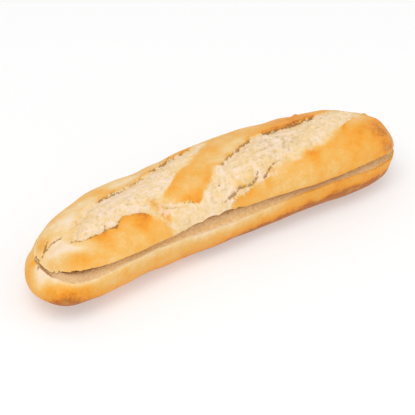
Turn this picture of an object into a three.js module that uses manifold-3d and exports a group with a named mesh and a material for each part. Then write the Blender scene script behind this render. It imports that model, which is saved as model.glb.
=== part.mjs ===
import * as THREE from 'three';
import { mergeVertices } from 'three/addons/utils/BufferGeometryUtils.js';
import Module from 'manifold-3d';

const wasm = await Module();
wasm.setup();

// A short baguette baked in one piece: flat underneath, bowed along its length, its crust burst
// open along two scores and a knife cut run lengthwise through its front to a hinge at the back.
// Sizes in mm. X runs along the loaf, Y to its uncut back, Z up.

// Body
const LENGTH = 265;
const HALF_WIDTH = 34.6;
const HEIGHT = 47.8;
const WIDEST_LEVEL = 19.7;        // height of the widest part of the section
const HEEL = 2;                   // how much the tray flattens the underside
const FAR_END_RISE = 0.08;        // the right end stands taller by this share, the left end lower
const END_DROP = 0.09;            // share of the height lost towards both ends
const TOP_SQUARENESS = 2.72;      // section exponents: 2 is an ellipse, more is fuller
const BASE_SQUARENESS = 2.2;

// How bluntly each end closes, seen from above, over the top and underneath
const LEFT_END = { plan: 6.6, top: 3.2, base: 3.8 };
const RIGHT_END = { plan: 4.8, top: 6.2, base: 7.7 };

// Bow of the centre line, seen from above
const BOW = 12.2;
const BOW_LEAN = 4.2;
const BOW_HOOK = 4.1;

// Scores, each a bowed spindle over the top of the loaf, given in plan
const LEFT_SCORE = {
  start: new THREE.Vector2(-116, -4), end: new THREE.Vector2(10, 22), bow: -11, halfWidth: 13,
};
const RIGHT_SCORE = {
  start: new THREE.Vector2(-52, -28), end: new THREE.Vector2(116, -4), bow: 9, halfWidth: 13,
};
const SCORE_DEPTH = 2.2;          // step down from the crust's lip to the torn crumb
const SCORE_SWELL = 1.8;          // rise of the crumb between the lips
const LIP_RISE = 1;               // lift of the crust's torn edge
const LIP_REACH = 4;              // width of crust that lifts with it

// Knife cut
const KERF = 0.8;
const CUT_HEIGHT = 26.1;
const CUT_FALL = 0.016;           // slope down towards the right end
const CUT_WAVE = 1.5;             // the knife rose and fell this much along the loaf
const CUT_WAVELENGTH = 137;
const CUT_END_RISE = 2.3;         // how much higher the knife stood at the left tip
const CUT_RIPPLE = 0.15;          // left by the sawing of the knife
const RIPPLE_LENGTH = 21;
const HINGE_Y = 22;
const HINGE_START = -108;         // where the hinge line turns in to the uncut left end
const CUT_END_X = -119;
const CUT_END_Y = 0.5;
const CUT_DEPTH_SHARE = 0.75;      // the knife stopped this far out to the back crust at the ends
const REACH = 150;                // runs the knife clear of the loaf

// Opening of the cut: its width at the front, which varies along the loaf
const MOUTH = 6.4;
const MOUTH_WAVE = 2.3;           // wider than MOUTH by this where the knife ran lowest
const MOUTH_SHUT = -122.5;        // closed up to here, and wide open from MOUTH_OPEN on
const MOUTH_OPEN = -117.5;
const FAR_TIP_CLOSING = 0.5;      // share by which the cut closes again at the right tip
const FAR_TIP_START = 98;

// Mesh
const AROUND = 48;
const ALONG = 84;
const CUT_STEPS = 100;

const smooth = THREE.MathUtils.smoothstep;

/** A sine or cosine pushed towards the corners of a superellipse. */
function squared(value, exponent) {
  return Math.sign(value) * Math.abs(value) ** (2 / exponent);
}

/** Share of full size at `t`, which runs from -1 at the left tip to 1 at the right tip. */
function endTaper(t, side) {
  const bluntness = (t < 0 ? LEFT_END : RIGHT_END)[side];
  return Math.sqrt(1 - Math.min(Math.abs(t), 1) ** bluntness);
}

function centreLine(t) {
  return BOW * (1 / 3 - t ** 2) + BOW_LEAN * t ** 3 + BOW_HOOK * (1 / 5 - t ** 4);
}

/** How far inside a score a plan point is: 1 on its spine, 0 on its lips, less than 0 outside. */
function insideScore(x, y, { start, end, bow, halfWidth }) {
  const chord = end.clone().sub(start);
  const along = new THREE.Vector2(x, y).sub(start);
  const s = along.dot(chord) / chord.lengthSq();
  const across = chord.cross(along) / chord.length();
  const belly = Math.sin(Math.PI * THREE.MathUtils.clamp(s, 0, 1));
  const beyond = Math.max(-s, s - 1, 0) * chord.length();
  return 1 - (Math.abs(across - bow * belly) + beyond) / (1 + halfWidth * belly ** 0.7);
}

/** Rise of the surface where the scores have torn the crust open. */
function scoreRelief(x, y) {
  const inside = Math.max(insideScore(x, y, LEFT_SCORE), insideScore(x, y, RIGHT_SCORE));
  const lipWidth = LIP_REACH / LEFT_SCORE.halfWidth;
  if (inside < 0) return LIP_RISE * smooth(inside, -lipWidth, 0);
  return LIP_RISE - (SCORE_DEPTH + LIP_RISE) * smooth(inside, 0, lipWidth)
    + SCORE_SWELL * smooth(inside, 0, 1);
}

/** Places a point of the unit sphere, whose poles are the loaf's tips, on the closed loaf. */
function shapeLoaf(point) {
  const t = THREE.MathUtils.clamp(point.x, -1, 1);
  const radius = Math.hypot(point.y, point.z) || 1;
  const top = point.z > 0;
  const exponent = top ? TOP_SQUARENESS : BASE_SQUARENESS;
  const full = HEIGHT * (1 + FAR_END_RISE * t - END_DROP * t ** 2);
  const reach = top
    ? (full - WIDEST_LEVEL) * endTaper(t, 'top')
    : WIDEST_LEVEL * endTaper(t, 'base');
  const x = t * LENGTH / 2;
  const y = centreLine(t)
    + HALF_WIDTH * endTaper(t, 'plan') * squared(point.y / radius, exponent);
  const z = WIDEST_LEVEL + reach * squared(point.z / radius, exponent);
  const relief = top ? scoreRelief(x, y) * point.z / radius : 0;
  point.set(x, y, Math.max(z + relief, HEEL));
}

/** The knife's slow rise and fall: 1 where it ran lowest, -1 where it ran highest. */
function cutWave(x) {
  return Math.cos(2 * Math.PI * x / CUT_WAVELENGTH);
}

/** Height of the cut's lower face. */
function cutLevel(x) {
  const ripple = CUT_RIPPLE * Math.sin(2 * Math.PI * x / RIPPLE_LENGTH);
  const endRise = CUT_END_RISE * (1 - smooth(x, CUT_END_X - 5, CUT_END_X + 23));
  return CUT_HEIGHT - CUT_FALL * x - CUT_WAVE * cutWave(x) + ripple + endRise;
}

/** The line that the halves swing about: straight, then turned in to the uncut left end. */
function hingeLine(x) {
  return THREE.MathUtils.lerp(CUT_END_Y, HINGE_Y, smooth(x, CUT_END_X, HINGE_START));
}

/** Where the knife stopped: on the hinge line, or short of the back crust near the ends. */
function bladeEnd(x) {
  const t = THREE.MathUtils.clamp(2 * x / LENGTH, -1, 1);
  const behind = centreLine(t) + CUT_DEPTH_SHARE * HALF_WIDTH * endTaper(t, 'plan');
  return Math.min(hingeLine(x), behind);
}

/** How much wider the cut stands open at the front than the knife left it. */
function mouthWidth(x) {
  const width = (MOUTH + MOUTH_WAVE * cutWave(x) - KERF) * smooth(x, MOUTH_SHUT, MOUTH_OPEN);
  return width * (1 - FAR_TIP_CLOSING * smooth(x, FAR_TIP_START, LENGTH / 2));
}

/** Raises everything above the cut about the hinge, as the finished loaf stands ajar. */
function openCut(point) {
  const above = point.z - cutLevel(point.x);
  if (above < KERF / 2) return;
  const angle = mouthWidth(point.x) / (HINGE_Y + HALF_WIDTH);
  const ahead = Math.max(hingeLine(point.x) - point.y, 0);
  point.z += angle * ahead;
  point.y += angle * above * smooth(ahead, 0, HALF_WIDTH / 2);
}

/** Applies `move` to every vertex of a geometry. */
function moveVertices(geometry, move) {
  const position = geometry.getAttribute('position');
  const point = new THREE.Vector3();
  for (let i = 0; i < position.count; i++) {
    move(point.fromBufferAttribute(position, i));
    position.setXYZ(i, point.x, point.y, point.z);
  }
  return geometry;
}

function toManifold(geometry) {
  geometry.deleteAttribute('uv');
  geometry.deleteAttribute('normal');
  const merged = mergeVertices(geometry, 1e-4);
  return new wasm.Manifold(new wasm.Mesh({
    numProp: 3,
    vertProperties: new Float32Array(merged.getAttribute('position').array),
    triVerts: new Uint32Array(merged.index.array),
  }));
}

function toGeometry(manifold) {
  const mesh = manifold.getMesh();
  const geometry = new THREE.BufferGeometry();
  geometry.setAttribute('position', new THREE.Float32BufferAttribute(mesh.vertProperties, 3));
  geometry.setIndex([...mesh.triVerts]);
  return geometry;
}

/** The knife's sweep: a thin slab in front of where it stopped, at the cut's level. */
function knifeSweep() {
  const slab = new THREE.BoxGeometry(2 * REACH, REACH, KERF, CUT_STEPS, 1, 1);
  return moveVertices(slab, (point) => {
    point.y = point.y > 0 ? bladeEnd(point.x) : -REACH;
    point.z += cutLevel(point.x) + KERF / 2;
  });
}

const bake = new THREE.SphereGeometry(1, AROUND, ALONG).rotateZ(-Math.PI / 2);
const loaf = toManifold(moveVertices(bake, shapeLoaf));
const cut = toGeometry(loaf.subtract(toManifold(knifeSweep())));
const opened = moveVertices(cut, openCut);

opened.computeBoundingBox();
const { min, max } = opened.boundingBox;
opened.translate(-(min.x + max.x) / 2, -(min.y + max.y) / 2, -min.z);
opened.computeVertexNormals();

const crust = new THREE.MeshStandardMaterial({ name: 'crust', color: 0xe0a050, roughness: 0.7 });
const mesh = new THREE.Mesh(opened, crust);
mesh.name = 'loaf';

const group = new THREE.Group();
group.name = 'baguette';
group.add(mesh);

export default group;
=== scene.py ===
import math

import bmesh
import bpy
import numpy as np
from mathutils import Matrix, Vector, noise


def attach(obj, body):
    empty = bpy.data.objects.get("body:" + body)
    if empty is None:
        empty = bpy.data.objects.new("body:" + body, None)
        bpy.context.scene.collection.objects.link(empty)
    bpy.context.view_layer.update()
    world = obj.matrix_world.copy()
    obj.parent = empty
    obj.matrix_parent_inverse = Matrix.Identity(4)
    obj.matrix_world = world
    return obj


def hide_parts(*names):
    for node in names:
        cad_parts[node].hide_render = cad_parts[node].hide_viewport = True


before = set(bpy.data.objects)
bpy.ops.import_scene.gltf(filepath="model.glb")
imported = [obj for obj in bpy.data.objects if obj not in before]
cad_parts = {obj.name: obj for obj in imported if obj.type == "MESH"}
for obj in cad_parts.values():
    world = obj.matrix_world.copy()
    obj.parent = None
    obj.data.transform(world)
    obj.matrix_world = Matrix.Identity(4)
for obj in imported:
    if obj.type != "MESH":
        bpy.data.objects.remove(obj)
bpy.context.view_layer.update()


# The body of the loaf
# One piece of dough, rolled, proved until it slumped into a bow, and baked on a tray that
# flattened its underside. Sizes in mm, run along X from the left tip to the right tip.

MM = 0.001
LENGTH = 265
HALF_WIDTH = 34.6
HEIGHT = 47.8
WIDEST_LEVEL = 19.7
HEEL = 2
FAR_END_RISE = 0.08
END_DROP = 0.09
TOP_SQUARENESS = 2.72
BASE_SQUARENESS = 2.2
LEFT_END = {"plan": 6.6, "top": 3.2, "base": 3.8}
RIGHT_END = {"plan": 4.8, "top": 6.2, "base": 7.7}
BOW = 12.2
BOW_LEAN = 4.2
BOW_HOOK = 4.1

SEGMENTS_AROUND = 200
SEGMENTS_ALONG = 320
TOP_CROWDING = 0.42               # shifts the mesh's lines from the underside to the top
SWELLINGS = [                     # x, y, z, reach, and how far the crust stands out there
    (-116, 16, 26, 8, -2.0), (-105, 22, 30, 7, -0.9), (-64, 30, 37, 16, 1.4),
    (-33, 32, 39, 10, -1.4), (-17, 33, 40, 10, -1.5), (60, 28, 43, 12, -1.3),
    (79, 25, 43, 6, -1.0), (98, 17, 43, 6, 0.7), (112, 7, 44, 5, -1.6), (124, -4, 38, 7, 1.2),
    (126, -9, 37, 6, 2.2), (122, 2, 37, 2.2, 1.4), (79.5, 20, 45, 1.8, 1.2),
    (-128, -24, 14, 8, -1.2), (-104, -33, 11, 10, -1.1), (-86, -32, 11, 10, -1.0),
    (-64, -28, 9, 14, -2.1), (-34, -25, 8, 14, -0.7), (46, -25.5, 8, 10, -0.7),
    (64, -27, 8, 15, -1.8), (124, -23, 15, 5, -1.5),
]


def ease(value, low, high):
    """Runs smoothly from 0 at `low` to 1 at `high`."""
    share = np.clip((value - low) / (high - low), 0, 1)
    return share * share * (3 - 2 * share)


def end_taper(t, side):
    """Share of full size at t, which runs from -1 at the left tip to 1 at the right tip."""
    bluntness = np.where(t < 0, LEFT_END[side], RIGHT_END[side])
    return np.sqrt(1 - np.minimum(abs(t), 1) ** bluntness)


def centre_line(t):
    return BOW * (1 / 3 - t**2) + BOW_LEAN * t**3 + BOW_HOOK * (1 / 5 - t**4)


def body_shape(t, turn):
    """Places the ring at t along the loaf, and the angle `turn` round it, on the plain body."""
    side, rise = np.cos(turn), np.sin(turn)
    top = rise > 0
    squareness = np.where(top, TOP_SQUARENESS, BASE_SQUARENESS)
    radius = (abs(side) ** squareness + abs(rise) ** squareness) ** (-1 / squareness)
    full = HEIGHT * (1 + FAR_END_RISE * t - END_DROP * t**2)
    above = (full - WIDEST_LEVEL) * end_taper(t, "top")
    below = WIDEST_LEVEL * end_taper(t, "base")
    x = t * LENGTH / 2
    y = centre_line(t) + HALF_WIDTH * end_taper(t, "plan") * side * radius
    z = WIDEST_LEVEL + np.where(top, above, below) * rise * radius
    return np.stack([x, y, z], axis=1)


def read_points(mesh):
    """The mesh's vertices as rows of x, y, z."""
    points = np.empty(len(mesh.vertices) * 3)
    mesh.vertices.foreach_get("co", points)
    return points.reshape(-1, 3)


def start_of(seed):
    return Vector((seed * 17.3, seed * 5.1, seed * 9.7))


def grain(points, size, seed):
    """Even noise from -1 to 1 at each point, with lumps about `size` mm across."""
    start = start_of(seed)
    return np.array([noise.noise(Vector(point) / size + start) for point in points])


def near(points, place, reach):
    """From 1 at a place, given in plan or in space, to 0 far from it."""
    away = np.linalg.norm(points[:, :len(place)] - place, axis=1)
    return np.exp(-((away / reach) ** 2))


ball = bmesh.new()
bmesh.ops.create_uvsphere(ball, u_segments=SEGMENTS_AROUND, v_segments=SEGMENTS_ALONG, radius=1)
dough = bpy.data.meshes.new("dough")
ball.to_mesh(dough)
ball.free()

sphere = read_points(dough)
turn = np.arctan2(sphere[:, 0], -sphere[:, 1])
turn += TOP_CROWDING * np.cos(turn)
loaf_points = body_shape(sphere[:, 2], turn)
upward = np.clip(np.sin(turn), 0, 1)

lumps = 0.9 * grain(loaf_points, 38, 7) + 0.35 * grain(loaf_points, 14, 8)
dimples = 0.06 * grain(loaf_points, 3, 9)
swellings = sum(rise * near(loaf_points, (x, y, z), reach) for x, y, z, reach, rise in SWELLINGS)
outward = np.stack([0 * turn, np.cos(turn), np.sin(turn)], axis=1)
stand_out = (lumps + dimples) * end_taper(sphere[:, 2], "plan") + swellings
loaf_points += outward * stand_out[:, None]


# The scores
# Two slashes of the baker's blade burst open in the oven: the crust stops at ragged lips, and
# pale torn crumb swells between them. A strap of crust is left standing across the middle.

TEAR = [
    (-102.5, -11.5), (-100.5, -12), (-99, -14.2), (-95, -15.4), (-93.5, -15), (-89.5, -15.9),
    (-84, -16.2), (-81, -14.8), (-77.3, -16.7), (-73.6, -15.3), (-69.2, -12.8), (-66.7, -12.2),
    (-63.5, -13.7), (-58.8, -15.3), (-56.5, -16.8), (-54.1, -20.2), (-50.7, -23.5), (-47.9, -26.7),
    (-45.2, -29.2), (-43, -31), (-42, -40), (-8, -40), (-3, -29), (0.7, -28.3), (8, -28.1),
    (15.5, -27.7), (21.5, -27), (28, -26),
    (37.5, -24.4), (41.5, -23), (46, -22.5), (54, -22), (57.5, -20.2), (63, -19.7), (71, -18.7),
    (80, -17), (89.5, -12), (97, -10), (104.5, -7.2), (115, -2.5), (116, 2), (113, 6), (104, 10),
    (96, 10), (89, 9), (85.5, 8.2), (82, 8.7), (78, 8), (73, 7.7), (67.3, 7), (62, 7.2), (57, 8.2),
    (54, 8.7), (51.4, 8.3), (48, 10), (39.5, 8.5), (36, 6.2), (32.4, 3.9), (26.6, 2), (21.5, -0.9),
    (15.6, -3.2), (9.7, -6.2), (5.2, -8.7), (1, -9), (-3.7, -14), (-8.2, -17.8), (-12.6, -20.3),
    (-15.6, -22), (-19.3, -24.5), (-23, -24.9), (-27.3, -23.2), (-31, -22.2), (-34, -21.5),
    (-38.5, -19.5), (-42, -17.5), (-43, -15.5), (-41, -13.7), (-35.2, -9.6), (-30.2, -6.5),
    (-24.4, -3.2), (-20, 0.6), (-14, 1.7), (-5.2, 7.3), (3, 14.7), (9, 20), (15, 27.5), (9, 28),
    (2.2, 25.2), (-1.5, 25.2), (-4.5, 24), (-10.4, 22.7), (-12.6, 24.5), (-17.8, 20.4),
    (-21.5, 19), (-25.8, 17.6), (-31, 16.5), (-38, 12.3), (-42.3, 11.4), (-50, 11.7),
    (-56.8, 11), (-60, 12.5), (-66.7, 12), (-70.5, 11.4), (-78, 12), (-84, 8), (-90, 3), (-98, -6),
]
CRACKS = [                        # how strongly each shows, and its corners
    (1.1, [(-118.6, -3.9), (-117.2, -2.7), (-115.2, -1.1), (-113, 1.2), (-111.4, 2.4)]),
    (1.1, [(-116, -1.2), (-114.5, -2.5)]),
    (1.45, [(-112.2, -2.3), (-110.6, -1.9), (-108.9, -2.4), (-106.8, -2.2), (-105.4, -2.6)]),
    (0.7, [(-121.8, -4.2), (-123.2, -7), (-124.6, -8.7)]),
    (0.25, [(-105.4, -2.6), (-100.8, -1.8), (-93.2, 0.1), (-85.5, 3.6)]),
    (0.8, [(-102.7, -11.6), (-100.8, -12.1), (-98.8, -14.3), (-95.3, -15.4), (-89.4, -15.9)]),
    (0.9, [(-89.4, -15.9), (-83.8, -16.2), (-80.9, -14.8), (-77.3, -16.7), (-73.6, -15.3)]),
    (0.6, [(-73.6, -15.3), (-69.2, -12.8), (-66.7, -12.2)]),
    (0.3, [(-66.7, -12.2), (-63.4, -13.7), (-58.8, -15.3), (-56.8, -16), (-55.5, -19.2)]),
    (0.9, [(-46.6, -22.6), (-46.6, -25.2)]),
    (0.9, [(-82.6, -16.3), (-80.3, -11.9)]), (0.9, [(-76.1, -17.8), (-71.7, -13.8)]),
    (0.7, [(-69.9, -15.1), (-66.7, -11.9)]), (0.8, [(-56.8, -16), (-57.5, -14.3)]),
    (0.9, [(-70.5, 11.4), (-66.7, 12), (-63.4, 11.5), (-60.2, 12.5), (-56.8, 11), (-50, 11.7)]),
    (0.6, [(-50, 11.7), (-46.6, 11.4), (-42.3, 11.4), (-38, 12.3)]),
    (0.7, [(-31, 16.5), (-25.8, 17.6), (-21.5, 19), (-17.8, 20.4), (-12.6, 24.5)]),
    (0.6, [(-10.4, 22.7), (-8.2, 23), (-4.5, 24), (-1.5, 25.2), (2.2, 25.2)]),
    (0.6, [(5.2, -8.7), (9.7, -6.2), (15.6, -3.2), (21.5, -0.9)]),
    (0.8, [(21.5, -0.9), (26.6, 2), (32.4, 3.9), (36, 6.2)]),
    (1.0, [(48, 10), (51.4, 8.3), (57, 8.2), (62, 7.2), (67.3, 7), (73, 7.7), (82, 8.7), (85.5, 8.2)]),
    (0.85, [(-6, -28.2), (-3, -27.6), (-0.7, -27.3), (3, -26.8), (4.5, -26.2), (6.7, -25.6)]),
    (0.85, [(6.7, -25.6), (11.1, -26), (15.6, -26), (18.5, -25), (20, -24), (22.2, -22.2)]),
    (0.9, [(25.1, -24.9), (27.3, -24), (29.5, -22.7), (32.4, -21.9), (35.2, -20.5), (38.8, -20)]),
    (0.8, [(-43, -20), (-38.8, -21.4), (-34.5, -23)]),
    (0.5, [(-31, -22.2), (-27.3, -23.2), (-23, -24.9)]),
    (0.7, [(-8.2, -19.7), (-6, -20), (-5.2, -21.7), (-4.5, -22.8)]),
    (0.3, [(95, -10.8), (100.3, -8.7), (104.5, -5.2)]),
]
SOFT_EDGES = [                    # x, y and reach of blurred lips
    (-94, 0, 15), (85, -12, 34), (-4, 8, 12), (14, 24, 8), (-52, -24, 7), (-43, -16, 6),
    (30, -25, 16), (2, -8, 6),
]
CRACK_WIDTH = 1.3
CRACK_DEPTH = 1.5
TEAR_MIDDLE = {                   # y of the tears' middle line at each x
    -100: -4, -40: 2, -15: 10, -14: -24, 10: -18, 60: -7, 110: 0,
}
FRONT_LIP_RISE = 0.4              # lift of the crust's torn edge
BACK_LIP_RISE = 0.9
LIP_REACH = 4
FRONT_TEAR_DEPTH = -0.1           # step down from the body's outline to the crumb by the lip
BACK_TEAR_DEPTH = 1.5
TEAR_SWELL = 2.0                  # rise of the crumb towards the middle of the tear
PITTED_PLACE = (48, -9)
PITTED_REACH = 24
BURST_BUBBLES = [                 # x and y of the widest pits
    (58.2, 1.5), (51.4, -0.4), (43.1, -4.2), (42.4, -7.9), (48.6, -12.6), (58.8, -7.9),
    (53.4, -12), (34.5, -9.4), (40.2, -14.7), (35.2, -17.1), (37.4, -8.6), (28.8, -5.5),
]
BUBBLE_REACH = 1.3


def distance_to_line(points, path):
    """Distance in mm, seen from above, from each point to an open line of corners."""
    nearest = np.full(len(points), np.inf)
    for (ax, ay), (bx, by) in zip(path, path[1:]):
        run, climb = bx - ax, by - ay
        x, y = points[:, 0] - ax, points[:, 1] - ay
        along = np.clip((x * run + y * climb) / (run**2 + climb**2), 0, 1)
        nearest = np.minimum(nearest, np.hypot(x - along * run, y - along * climb))
    return nearest


def distance_inside(points, outline):
    """How far each point lies inside a closed outline seen from above: less than 0 outside."""
    x, y = points[:, 0], points[:, 1]
    closed = outline + outline[:1]
    inside = np.zeros(len(points), bool)
    for (ax, ay), (bx, by) in zip(closed, closed[1:]):
        if ay != by:
            inside ^= ((y < ay) != (y < by)) & (x < ax + (bx - ax) * (y - ay) / (by - ay))
    return np.where(inside, 1, -1) * distance_to_line(points, closed)


def pores(points, size, seed):
    """Depth from 0 to 1 of round pores scattered about `size` mm apart."""
    start = start_of(seed)
    gap = np.array([noise.voronoi(Vector(point) / size + start)[0][0] for point in points])
    return 1 - ease(gap, 0.08, 0.42)


def flat(points):
    """The points dropped to one level, so that a pattern does not change with height."""
    return points * (1, 1, 0)


def sum_near(points, places):
    return sum(near(points, (x, y), reach) for x, y, reach in places)


def read_tear(points):
    """For each point: mm inside the torn crumb, mm from a crack, and how blurred the lip is."""
    level = flat(points)
    ragged = 0.8 * grain(level, 5, 1) + 0.5 * grain(level, 2.2, 2) + 0.3 * grain(level, 1.2, 3)
    crack = np.min([distance_to_line(points, path) + 0.8 * (1 - strength)
                    for strength, path in CRACKS], axis=0)
    soft = np.clip(0.25 + sum_near(points, SOFT_EDGES), 0, 1) * ease(crack, 1, 6)
    inside = distance_inside(points, TEAR) + ragged * (1.2 + 0.3 * soft)
    crack += 0.3 * grain(level, 1.4, 11) + 0.9 * np.maximum(grain(level, 3.2, 12), 0)
    return inside, crack, soft


def read_pits(points):
    """How deep the burst bubbles of the torn crumb are, from 0 to 1."""
    level = flat(points)
    coarse = pores(level, 3.8, 13) * (0.15 + 0.85 * near(points, PITTED_PLACE, PITTED_REACH))
    burst = np.max([near(points, place, BUBBLE_REACH) for place in BURST_BUBBLES], axis=0)
    return np.max([coarse, 0.5 * pores(level, 1.9, 14), burst], axis=0)


def tear_relief(points):
    inside, crack, soft = read_tear(points)
    level = flat(points)
    crumb = ease(inside, -0.6 - 2 * soft, 0.8 + 2.5 * soft)
    middle = np.interp(points[:, 0], list(TEAR_MIDDLE), list(TEAR_MIDDLE.values()))
    back = ease(points[:, 1] - middle, -5, 5)
    lip_rise = FRONT_LIP_RISE + (BACK_LIP_RISE - FRONT_LIP_RISE) * back
    depth = FRONT_TEAR_DEPTH + (BACK_TEAR_DEPTH - FRONT_TEAR_DEPTH) * back
    lip = lip_rise * ease(inside, -LIP_REACH, 0)
    step = (lip_rise + depth) * crumb
    swell = TEAR_SWELL * ease(inside, 0.3, 9)
    rough = 0.6 * grain(level, 5, 4) + 0.42 * grain(level, 2.6, 5) + 0.25 * grain(level, 1.3, 6)
    rough *= 0.8 + 0.6 * near(points, PITTED_PLACE, PITTED_REACH)
    torn = (lip - step) * (1 - 0.7 * soft) + swell + (rough - 1.2 * read_pits(points)) * crumb
    return torn - CRACK_DEPTH * (1 - ease(crack, 0, CRACK_WIDTH))


on_top = ease(upward, 0.3, 0.7)
loaf_points[:, 2] += tear_relief(loaf_points) * on_top
loaf_points[:, 2] = np.maximum(loaf_points[:, 2], HEEL)
dough.vertices.foreach_set("co", loaf_points.ravel())
dough.update()


# The knife cut
# A long cut sawn through the front and both tips, parallel to the tray, that stops short of the
# back crust. The upper half is hinged there and stands a little ajar, but at the shut left tip.

KERF = 0.8
CLOSED_KERF = 0.6                # share of the kerf left where the cut is shut
HALVES_APART = 0.1                # what is higher than this over the cut is the upper half
CUT_HEIGHT = 26.1
CUT_FALL = 0.016
CUT_WAVE = 1.5                    # the blade rose and fell this much along the loaf
CUT_WAVELENGTH = 137
CUT_END_RISE = 2.3                # how much higher the knife stood at the left tip
CUT_RIPPLE = 0.15
RIPPLE_LENGTH = 21
HINGE_Y = 22
HINGE_START = -108
CUT_END_X = -119
CUT_END_Y = 0.5
CUT_DEPTH_SHARE = 0.75            # near the ends the blade stopped this far out to the back crust
MOUTH = 6.4
MOUTH_WAVE = 2.3
MOUTH_SHUT = -122.5
MOUTH_OPEN = -117.5
FAR_TIP_CLOSING = 0.5             # share by which the cut closes again at the right tip
FAR_TIP_START = 98

SWEEP_MARGIN = 4                  # how far the knife's sweep stands out past the crust
CUT_LINES_ALONG = 300
CUT_LINES_ACROSS = 44
FRONT_CROWDING = 0.55             # shifts the sweep's lines from the hinge to the mouth
CUT_ROUGHNESS = 0.3
CUT_PORE_DEPTH = 0.7
SPRING = 1.6                      # the crumb of the lower half springs up behind the crust by this
SPRING_SHARE = 0.34               # and by this share of the mouth
SPRING_FRONT = 6                  # mm behind the crust where it stands highest
SPRING_BACK = 24
SAG = 0.7                         # how far the crumb of the upper half hangs down
SCALLOP_START = -44               # the stretch with no crust at the lip, which the knife tore
SCALLOP_END = 8
SCALLOP_LENGTH = 12
SCALLOP_RISE = 2.2


def cut_wave(x):
    """The blade's slow rise and fall: 1 where it ran lowest, -1 where it ran highest."""
    return np.cos(2 * np.pi * x / CUT_WAVELENGTH)


def cut_level(x):
    """Height of the cut's lower face."""
    ripple = CUT_RIPPLE * np.sin(2 * np.pi * x / RIPPLE_LENGTH)
    end_rise = CUT_END_RISE * (1 - ease(x, CUT_END_X - 5, CUT_END_X + 23))
    return CUT_HEIGHT - CUT_FALL * x - CUT_WAVE * cut_wave(x) + ripple + end_rise


def hinge_line(x):
    """The line that the halves swing about."""
    return CUT_END_Y + (HINGE_Y - CUT_END_Y) * ease(x, CUT_END_X, HINGE_START)


def blade_end(x):
    """Where the blade stopped: on the hinge line, or short of the back crust near the ends."""
    t = np.clip(x / (LENGTH / 2), -1, 1)
    behind = centre_line(t) + CUT_DEPTH_SHARE * HALF_WIDTH * end_taper(t, "plan")
    return np.minimum(hinge_line(x), behind)


def mouth_width(x):
    """How much wider the cut stands open at the front than the blade left it."""
    width = (MOUTH + MOUTH_WAVE * cut_wave(x) - KERF) * ease(x, MOUTH_SHUT, MOUTH_OPEN)
    return width * (1 - FAR_TIP_CLOSING * ease(x, FAR_TIP_START, LENGTH / 2))


def stand_ajar(points):
    """Raises what lies above the cut about the hinge."""
    x, y, z = points.T
    above = z - cut_level(x)
    angle = np.where(above > HALVES_APART, mouth_width(x) / (HINGE_Y + HALF_WIDTH), 0)
    ahead = np.maximum(hinge_line(x) - y, 0)
    lifted_y = y + angle * above * ease(ahead, 0, HALF_WIDTH / 2)
    return np.stack([x, lifted_y, z + angle * ahead], axis=1)


def depth_behind_crust(points):
    """How far each point of the cut lies behind the crust of the front and the ends."""
    t = points[:, 0] / (LENGTH / 2)
    full = HEIGHT * (1 + FAR_END_RISE * t - END_DROP * t**2)
    above = (full - WIDEST_LEVEL) * np.maximum(end_taper(t, "top"), 0.01)
    rise = np.clip((points[:, 2] - WIDEST_LEVEL) / above, 0, 1)
    half = HALF_WIDTH * end_taper(t, "plan") * (1 - rise**TOP_SQUARENESS) ** (1 / TOP_SQUARENESS)
    behind_front = points[:, 1] - centre_line(t) + half
    return np.minimum(behind_front, 2 * (LENGTH / 2 - abs(points[:, 0])))


blade = bmesh.new()
bmesh.ops.create_grid(blade, x_segments=CUT_LINES_ALONG, y_segments=CUT_LINES_ACROSS, size=1)
raised = bmesh.ops.extrude_face_region(blade, geom=blade.faces[:], use_keep_orig=True)
for part in raised["geom"]:
    if isinstance(part, bmesh.types.BMVert):
        part.co.z = 1
bmesh.ops.recalc_face_normals(blade, faces=blade.faces)
sweep = bpy.data.meshes.new("sweep")
blade.to_mesh(sweep)
blade.free()

slab = read_points(sweep)
upper = slab[:, 2] > 0
slab[:, 0] *= LENGTH / 2 + SWEEP_MARGIN
share = (slab[:, 1] + 1) / 2
share *= 1 - FRONT_CROWDING * (1 - share)
mouth_line = centre_line(np.clip(slab[:, 0] / (LENGTH / 2), -1, 1)) - HALF_WIDTH - SWEEP_MARGIN
slab[:, 1] = mouth_line + (blade_end(slab[:, 0]) - mouth_line) * share
open_share = ease(slab[:, 0], MOUTH_SHUT, MOUTH_OPEN)
kerf = KERF * (CLOSED_KERF + (1 - CLOSED_KERF) * open_share)
slab[:, 2] = cut_level(slab[:, 0]) + kerf * upper

tooth = slab + upper[:, None] * (0, 0, 40)
hollow = CUT_ROUGHNESS * (1 + grain(tooth, 3.2, 10)) + 0.2 * (1 + grain(tooth, 1.4, 15))
hollow += CUT_PORE_DEPTH * np.maximum(pores(tooth, 2.6, 16), 0.6 * pores(tooth, 5.5, 17))
hollow *= ease(share, 0.06, 0.16)
scallops = ease(slab[:, 0], SCALLOP_START, SCALLOP_START + 22)
scallops *= 1 - ease(slab[:, 0], SCALLOP_END - 8, SCALLOP_END)
scallops *= SCALLOP_RISE * (0.55 + 0.55 * abs(np.sin(np.pi * slab[:, 0] / SCALLOP_LENGTH)))
scallops *= 1 - ease(share, 0.1, 0.35)
slab[:, 2] += np.where(upper, hollow + scallops, -hollow) * (0.15 + 0.85 * open_share)
sweep.vertices.foreach_set("co", slab.ravel())
sweep.update()

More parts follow.
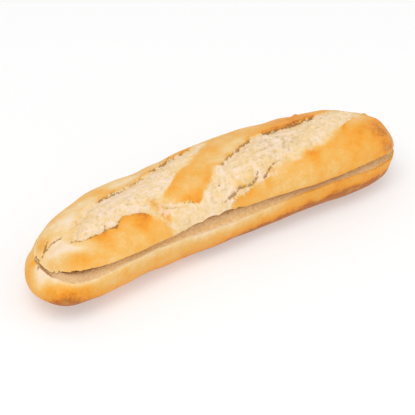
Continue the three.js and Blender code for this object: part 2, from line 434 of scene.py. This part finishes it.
crust = bpy.data.materials.new("crust")
crumb = bpy.data.materials.new("cut_crumb")
loaf = bpy.data.objects.new("baked_loaf", dough)
knife = bpy.data.objects.new("knife_sweep", sweep)
for piece in (loaf, knife):
    bpy.context.scene.collection.objects.link(piece)
    piece.data.materials.append(crust)
    piece.data.materials.append(crumb)
sweep.polygons.foreach_set("material_index", [1] * len(sweep.polygons))
cut = loaf.modifiers.new("cut", "BOOLEAN")
cut.operation = "DIFFERENCE"
cut.object = knife
cut.solver = "EXACT"
sliced = bpy.data.meshes.new_from_object(loaf.evaluated_get(bpy.context.evaluated_depsgraph_get()))
loaf.modifiers.clear()
bpy.data.objects.remove(knife)
loaf.data = sliced
sliced.name = "baked_loaf"

baked = read_points(sliced)
over_cut = baked[:, 2] - cut_level(baked[:, 0])
upper_half = over_cut > HALVES_APART
corner_counts = np.empty(len(sliced.polygons), int)
sliced.polygons.foreach_get("loop_total", corner_counts)
materials = np.empty(len(sliced.polygons), int)
sliced.polygons.foreach_get("material_index", materials)
corners = np.empty(len(sliced.loops), int)
sliced.loops.foreach_get("vertex_index", corners)
cut_only = np.ones(len(baked), bool)
cut_only[corners[np.repeat(materials == 0, corner_counts)]] = False

behind = depth_behind_crust(baked)
spring = ease(behind, 0, SPRING_FRONT) * (1 - ease(behind, SPRING_FRONT, SPRING_BACK))
spring *= ease(baked[:, 0], MOUTH_SHUT, MOUTH_OPEN) * cut_only
opened = stand_ajar(baked)
opened[:, 2] += np.where(upper_half, -SAG, SPRING + SPRING_SHARE * mouth_width(baked[:, 0])) * spring


# The bake
# How brown each place is, from pale dough that the oven hardly reached to the dark torn lips, with some
# painted highlights and shade mixed in.
# The crust is brownest on the lips, on the far end and low down, where the hot tray was near; low down it
# is also darkened with painted shade.

GOLDEN = 0.5
PATCHES_ABOVE = [                 # x, y, reach, change in brownness on the upper half
    (-60, -21, 7, 0.31), (-84, -21, 6, 0.2), (-107, -26, 7, 0.27), (-99, -20, 6, -0.25),
    (-78, -26, 9, -0.08),
    (-46, -30, 6, -0.05), (-22, -23, 4, 0.12), (-33, -9, 6, 0.08), (-12, -8, 7, 0.1),
    (-38, -18, 7, -0.25), (9, -6, 5, -0.35), (19, 1, 5, -0.35), (28, 6, 6, -0.35),
    (24, -28, 5, 0.05), (62, -23, 7, 0.3), (114, -17, 22, 0.5), (104, -6, 9, -0.65),
    (116, -4, 6, -0.42), (106, -28, 12, -0.1), (36, -27, 30, -0.1),
    (-112, -8, 9, -0.45), (-104, -14, 8, -0.35), (-98, 8, 12, -0.34), (-82, 14, 8, -0.2),
    # (-50, 17) and (-74, 15) lighten the crust on the back edge, seen at a glancing angle, against its
    # shade: painted light
    (-90, 4, 7, -0.3), (-119, 6, 7, 0.48), (73, 14, 20, 0.22), (-50, 17, 14, -0.4), (-23, 18, 10, -0.2),
    (-74, 15, 8, -0.35), (-66, 20, 6, 0.2), (-23, 19, 8, -0.15), (-15, -5, 18, -0.02), (15, 27, 10, -0.1),
]
PATCHES_BELOW = [                 # the same, on the lower half
    # (-126, -14) and (-128, -18) paint a pale upright stripe on the left tip: a painted highlight
    (-112, -38, 18, 0.28), (-131, -6, 8, 0.18), (-126, -14, 4, -0.2), (-128, -18, 3.5, -0.2),
    (-129, -27, 6, 0.25), (-120, -33, 6.5, 0.26), (90, -36, 45, 0.2), (-20, -28, 18, -0.05),
]
CRUMB_PATCHES = [                 # the same, on the torn crumb
    (-48.5, -14, 3.5, 0.42), (-46, -18.5, 3, 0.42), (-45.3, -23, 2.5, 0.48), (-45.2, -27, 3, 0.25),
    (-38, -28, 8, 0.12), (8, -28, 5, 0.28), (20, -27, 5, 0.28), (32, -25, 5, 0.28),
    (44, -22, 5, 0.2), (50, -8, 12, -0.07), (-10, -26, 4, 0.12), (12, -19, 8, 0.06),
]
EDGE_BROWNING_AND_SHADE = 0.62              # how much browner the crust is low down, and darker there with painted shade
EDGE_TOP = 23                     # height where that begins
CUT_PALENESS_AND_HIGHLIGHT = 0.4                # how much paler the crust is just under the cut: paler crust and a painted highlight along the lower lip
CUT_PALE_REACH = 2.5
TOP_START = 24                    # height above which the scores can show
FAR_AWAY = 9                      # mm from a lip, a crack or a crease, where none of them shows


def paint(name, values):
    """Stores one number for each vertex, for the materials to read."""
    layer = sliced.attributes.new(name, "FLOAT", "POINT")
    layer.data.foreach_set("value", values.astype(np.float32))


def sum_patches(points, patches):
    return sum(change * near(points, (x, y), reach) for x, y, reach, change in patches)


inside, crack, soft = read_tear(baked)
on_top = ease(baked[:, 2], TOP_START, TOP_START + 8)
high = ease(over_cut, 0, 4)

# Brownness, into which the painted highlights and shade below are mixed
bake_and_painted_light = GOLDEN + 0.08 * grain(baked, 30, 20) + 0.08 * grain(baked, 11, 21)
bake_and_painted_light += high * sum_patches(baked, PATCHES_ABOVE)
bake_and_painted_light += (1 - high) * sum_patches(baked, PATCHES_BELOW)
bake_and_painted_light += 0.2 * ease(inside, -7, -1) * on_top * (1 - 0.7 * soft)
# Painted shade, with real browning, darkens the crust low down
low_down = 1 - ease(baked[:, 2], 6, EDGE_TOP)
bake_and_painted_light += EDGE_BROWNING_AND_SHADE * low_down * (0.65 + ease(baked[:, 0], -50, 60))
# Painted highlight, with paler crust, just under the cut; strongest near the left tip
below_cut = np.where(upper_half, 0, np.exp(np.minimum(over_cut, 0) / CUT_PALE_REACH))
front = ease(-baked[:, 1], 3, 9)
left, right = 1 - ease(baked[:, 0], -112, -85), ease(baked[:, 0], 0, 60)
bake_and_painted_light -= CUT_PALENESS_AND_HIGHLIGHT * below_cut * front * (1 + 0.9 * left - right)
# Painted highlight: a thin pale line along the upper lip near the left tip
upper_lip_highlight = np.where(upper_half, np.exp(-np.maximum(over_cut - KERF, 0) / 1.5), 0)
bake_and_painted_light -= 0.3 * upper_lip_highlight * left
toast = 0.1 + 0.1 * grain(baked, 16, 22) + sum_patches(baked, CRUMB_PATCHES)

# Painted shade, with some browning, along the crease of the shut cut: it fades where the mouth opens, and
# again towards the back
crease_browning_and_shade = np.where(cut_only, 0, np.where(upper_half, 1.3 * over_cut, -3 * over_cut))
crease_browning_and_shade += 0.3 * grain(baked, 2, 23)
crease_browning_and_shade += 3 * ease(baked[:, 0], MOUTH_SHUT - 0.5, MOUTH_SHUT + 1.5) + 3 * ease(baked[:, 1], 1.5, 3.5)
crack = np.where(on_top > 0, crack, FAR_AWAY)
paint("bake_and_painted_light", bake_and_painted_light)
paint("toast", toast)
paint("tear", np.where(upper_half & (baked[:, 2] > TOP_START), inside, -FAR_AWAY))
paint("tear_blur", 0.35 + 3.2 * soft)
paint("crack", crack)
paint("crease_browning_and_shade", np.clip(crease_browning_and_shade, 0, FAR_AWAY))
# Painted shade for the pits of the burst bubbles
paint("pit_shade", read_pits(baked) * ease(inside, 0, 2))
paint("behind_crust", behind)
# The crumb deep in the slit is painted paler: it is whiter there, and the lightening also offsets the
# shade that falls deep in the slit, less so at the tips
paint("cut_whitening_and_painted_light", 0.9 * ease(behind, 2, 8) * (1 - 0.8 * left) * (1 - 0.5 * right))
# Painted shade: the cut crumb is darkened towards the left tip, and less towards the right tip
paint("cut_end_shade", 0.5 * left + 0.35 * right)

low, high_corner = opened.min(axis=0), opened.max(axis=0)
opened -= ((low[0] + high_corner[0]) / 2, (low[1] + high_corner[1]) / 2, HEEL)
sliced.vertices.foreach_set("co", (opened * MM).ravel())
sliced.polygons.foreach_set("use_smooth", [True] * len(sliced.polygons))

rims = bmesh.new()
rims.from_mesh(sliced)
for edge in rims.edges:
    edge.smooth = len({face.material_index for face in edge.link_faces}) == 1
rims.to_mesh(sliced)
rims.free()
sliced.update()


def shade(red, green, blue):
    """A colour from 0-255 screen values, as the shaders count it."""
    return tuple(((level / 255 + 0.055) / 1.055) ** 2.4 for level in (red, green, blue)) + (1,)


def add_node(tree, kind, sockets, **settings):
    """Adds a shader node and fills its sockets with values or with other nodes' outputs."""
    node = tree.nodes.new("ShaderNode" + kind)
    for name, value in settings.items():
        setattr(node, name, value)
    for name, value in sockets.items():
        if isinstance(value, bpy.types.NodeSocket):
            tree.links.new(value, node.inputs[name])
        else:
            node.inputs[name].default_value = value
    return node


def read_layer(tree, name):
    return add_node(tree, "Attribute", {}, attribute_name=name).outputs["Fac"]


def noise_field(tree, size, detail=2):
    """Noise from 0 to 1 fixed to the loaf, with lumps about `size` mm across."""
    place = add_node(tree, "TexCoord", {}).outputs["Object"]
    sockets = {"Vector": place, "Scale": 1 / (size * MM), "Detail": detail}
    return add_node(tree, "TexNoise", sockets).outputs["Fac"]


def spread(tree, value, low, high, to_low=0.0, to_high=1.0, smooth=False):
    """Maps `value` from low..high to to_low..to_high."""
    sockets = {"Value": value, "From Min": low, "From Max": high, "To Min": to_low, "To Max": to_high}
    kind = "SMOOTHSTEP" if smooth else "LINEAR"
    return add_node(tree, "MapRange", sockets, interpolation_type=kind).outputs["Result"]


def combine(tree, operation, first, second):
    return add_node(tree, "Math", {0: first, 1: second}, operation=operation).outputs["Value"]


def blend_colours(tree, factor, first, second):
    sockets = {"Factor": factor, "A": first, "B": second}
    return add_node(tree, "Mix", sockets, data_type="RGBA").outputs["Result"]


def ramp_colours(tree, value, stops):
    """Colours `value` by a ramp of place: colour stops."""
    node = add_node(tree, "ValToRGB", {"Fac": value})
    ramp = node.color_ramp
    while len(ramp.elements) < len(stops):
        ramp.elements.new(1)
    for element, (place, colour) in zip(ramp.elements, sorted(stops.items())):
        element.position = place
        element.color = colour
    return node.outputs["Color"]


BAKED_COLOURS = {
    0.0: shade(243, 218, 188),
    0.15: shade(241, 210, 160),
    0.3: shade(238, 198, 132),
    0.5: shade(236, 178, 88),
    0.7: shade(238, 161, 48),
    0.85: shade(230, 143, 30),
    1.0: shade(180, 102, 28),
}
CRACK_BROWN_AND_SHADE = shade(158, 110, 56)
CREASE_BROWN_AND_SHADE = shade(178, 124, 68)
PIT_SHADE_BEIGE = shade(206, 176, 122)
CRUMB_ROSE = shade(248, 224, 206)
CRUMB_OLIVE = shade(220, 194, 142)
CRUST_OLIVE = shade(228, 178, 86)

crust.use_nodes = True
tree = crust.node_tree
shader = tree.nodes["Principled BSDF"]
blur = read_layer(tree, "tear_blur")
fray = spread(tree, noise_field(tree, 1.5), 0.3, 0.7, -0.5, 0.5)
tear = combine(tree, "ADD", read_layer(tree, "tear"), fray)
torn = spread(tree, tear, combine(tree, "MULTIPLY", blur, -1.0), blur, smooth=True)
mottle = combine(tree, "ADD",
                 spread(tree, noise_field(tree, 7, 3), 0.3, 0.7, -0.09, 0.09),
                 spread(tree, noise_field(tree, 1.6), 0.3, 0.7, -0.06, 0.06))
baked_crust = combine(tree, "ADD", read_layer(tree, "bake_and_painted_light"), mottle)
crumb_mottle = spread(tree, noise_field(tree, 2.2, 4), 0.3, 0.7, -0.1, 0.12)
baked_crumb = combine(tree, "ADD", read_layer(tree, "toast"), crumb_mottle)
browning = add_node(tree, "Mix", {"Factor": torn, "A": baked_crust, "B": baked_crumb}).outputs["Result"]
colour = ramp_colours(tree, browning, BAKED_COLOURS)
uneven = spread(tree, noise_field(tree, 6, 4), 0.5, 0.68, 0.0, 0.32)
on_crust = spread(tree, torn, 0.0, 1.0, 1.0, 0.0)
colour = blend_colours(tree, combine(tree, "MULTIPLY", uneven, on_crust), colour, CRUST_OLIVE)
rosy = spread(tree, noise_field(tree, 5, 3), 0.5, 0.66, 0.0, 0.6)
colour = blend_colours(tree, combine(tree, "MULTIPLY", rosy, torn), colour, CRUMB_ROSE)
olive = spread(tree, noise_field(tree, 3.2, 4), 0.42, 0.3, 0.0, 0.75)
colour = blend_colours(tree, combine(tree, "MULTIPLY", olive, torn), colour, CRUMB_OLIVE)
# Painted shade darkens the pits of the torn crumb
pit_shading = combine(tree, "MULTIPLY", read_layer(tree, "pit_shade"), 0.85)
colour = blend_colours(tree, pit_shading, colour, PIT_SHADE_BEIGE)
# The cracks and lip edges are darkened brown: partly browned crust, partly painted shade in the grooves
crack = combine(tree, "ADD", read_layer(tree, "crack"), combine(tree, "MULTIPLY", fray, 0.5))
crack_darkening = spread(tree, crack, 0.3, 0.95, 0.8, 0.0, smooth=True)
colour = blend_colours(tree, crack_darkening, colour, CRACK_BROWN_AND_SHADE)
# Painted shade, with some browning of the edge, darkens the crease of the shut cut
crease_browning_and_shade = combine(tree, "ADD", read_layer(tree, "crease_browning_and_shade"), combine(tree, "MULTIPLY", fray, 0.5))
crease_darkening = spread(tree, crease_browning_and_shade, 0.4, 1.2, 0.85, 0.0, smooth=True)
colour = blend_colours(tree, crease_darkening, colour, CREASE_BROWN_AND_SHADE)
tree.links.new(colour, shader.inputs["Base Color"])
tree.links.new(spread(tree, torn, 0.0, 1.0, 0.5, 0.9), shader.inputs["Roughness"])
shader.inputs["Specular IOR Level"].default_value = 0.3
crust_bump = spread(tree, noise_field(tree, 2.5, 4), 0.0, 1.0, 0.0, 0.12)
crumb_bump = spread(tree, noise_field(tree, 1.4, 4), 0.0, 1.0, 0.0, 0.7)
height = add_node(tree, "Mix", {"Factor": torn, "A": crust_bump, "B": crumb_bump}).outputs["Result"]
bump = add_node(tree, "Bump", {"Height": height, "Distance": MM, "Strength": 1.0})
tree.links.new(bump.outputs["Normal"], shader.inputs["Normal"])

CUT_TAN = shade(248, 208, 154)
CUT_DARK = shade(232, 188, 124)
CUT_DEEP_PALE_AND_LIT = shade(252, 228, 192)
CUT_SHADE_BROWN = shade(208, 168, 132)

crumb.use_nodes = True
tree = crumb.node_tree
shader = tree.nodes["Principled BSDF"]
fray_of_rind = spread(tree, noise_field(tree, 1.5), 0.3, 0.7, -0.4, 0.4)
rind_colour = ramp_colours(tree, read_layer(tree, "bake_and_painted_light"), BAKED_COLOURS)
colour = blend_colours(tree, spread(tree, noise_field(tree, 1.8, 4), 0.35, 0.65), CUT_DARK, CUT_TAN)
behind_crust = read_layer(tree, "behind_crust")
# Paler crumb deep in the slit, partly painted light against the shade there
colour = blend_colours(tree, read_layer(tree, "cut_whitening_and_painted_light"), colour, CUT_DEEP_PALE_AND_LIT)
# Painted shade on the cut crumb towards the tips
colour = blend_colours(tree, read_layer(tree, "cut_end_shade"), colour, CUT_SHADE_BROWN)
rind = spread(tree, combine(tree, "ADD", behind_crust, fray_of_rind), 0.4, 1.6, 1.0, 0.0, smooth=True)
colour = blend_colours(tree, rind, colour, rind_colour)
# Painted shade, with some browning, darkens the cut faces along the shut crease
crease_darkening = spread(tree, read_layer(tree, "crease_browning_and_shade"), 0.8, 2.2, 0.9, 0.0, smooth=True)
colour = blend_colours(tree, crease_darkening, colour, CREASE_BROWN_AND_SHADE)
tree.links.new(colour, shader.inputs["Base Color"])
shader.inputs["Roughness"].default_value = 0.95
shader.inputs["Specular IOR Level"].default_value = 0.1
bump = add_node(tree, "Bump", {"Height": noise_field(tree, 1.1, 3), "Distance": MM, "Strength": 0.8})
tree.links.new(bump.outputs["Normal"], shader.inputs["Normal"])

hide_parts("loaf")
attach(loaf, "root")


# Floor, light and camera

FLOOR_SIZE = 4
FLOOR_GREY = 0.6
FLOOR_GLOW = 0.36
SKY_STRENGTH = 0.72
KEY_POWER = 10.6
FILL_POWER = 3
WHITE = (1, 1, 1, 1)
plane = bmesh.new()
bmesh.ops.create_grid(plane, x_segments=1, y_segments=1, size=FLOOR_SIZE / 2)
floor_mesh = bpy.data.meshes.new("floor")
plane.to_mesh(floor_mesh)
plane.free()
floor = bpy.data.objects.new("floor", floor_mesh)
bpy.context.scene.collection.objects.link(floor)
paper = bpy.data.materials.new("pale_floor")
paper.use_nodes = True
shader = paper.node_tree.nodes["Principled BSDF"]
shader.inputs["Base Color"].default_value = (FLOOR_GREY, FLOOR_GREY, FLOOR_GREY, 1)
shader.inputs["Emission Color"].default_value = WHITE
shader.inputs["Emission Strength"].default_value = FLOOR_GLOW
shader.inputs["Roughness"].default_value = 0.9
floor_mesh.materials.append(paper)

CAMERA_AZIMUTH = math.radians(-33.87)
CAMERA_ELEVATION = math.radians(35.09)
CAMERA_DISTANCE = 1.2658
CAMERA_TARGET = Vector((-0.0038, -0.0063, 0.02))
FOCAL_PIXELS = 2079.7
IMAGE_WIDTH = 415
SENSOR = 36

away = Vector((
    math.sin(CAMERA_AZIMUTH) * math.cos(CAMERA_ELEVATION),
    -math.cos(CAMERA_AZIMUTH) * math.cos(CAMERA_ELEVATION),
    math.sin(CAMERA_ELEVATION),
))
camera = bpy.data.objects.new("camera", bpy.data.cameras.new("camera"))
camera.data.sensor_width = SENSOR
camera.data.lens = FOCAL_PIXELS * SENSOR / IMAGE_WIDTH
camera.location = CAMERA_TARGET + away * CAMERA_DISTANCE
camera.rotation_euler = away.to_track_quat("Z", "Y").to_euler()
bpy.context.scene.collection.objects.link(camera)
bpy.context.scene.camera = camera
bpy.context.scene.view_settings.view_transform = "Standard"

world = bpy.data.worlds.new("studio")
world.use_nodes = True
sky = world.node_tree.nodes["Background"]
sky.inputs["Color"].default_value = WHITE
sky.inputs["Strength"].default_value = SKY_STRENGTH
bpy.context.scene.world = world


def softbox(name, place, size, power):
    """A square light at `place`, in metres, aimed at the loaf."""
    light = bpy.data.lights.new(name, "AREA")
    light.size = size
    light.energy = power
    lamp = bpy.data.objects.new(name, light)
    lamp.location = place
    lamp.rotation_euler = Vector(place).to_track_quat("Z", "Y").to_euler()
    bpy.context.scene.collection.objects.link(lamp)


softbox("key", (-0.6, -0.4, 1.5), 1.1, KEY_POWER)
softbox("fill", (0.9, -1.0, 0.9), 1.2, FILL_POWER)
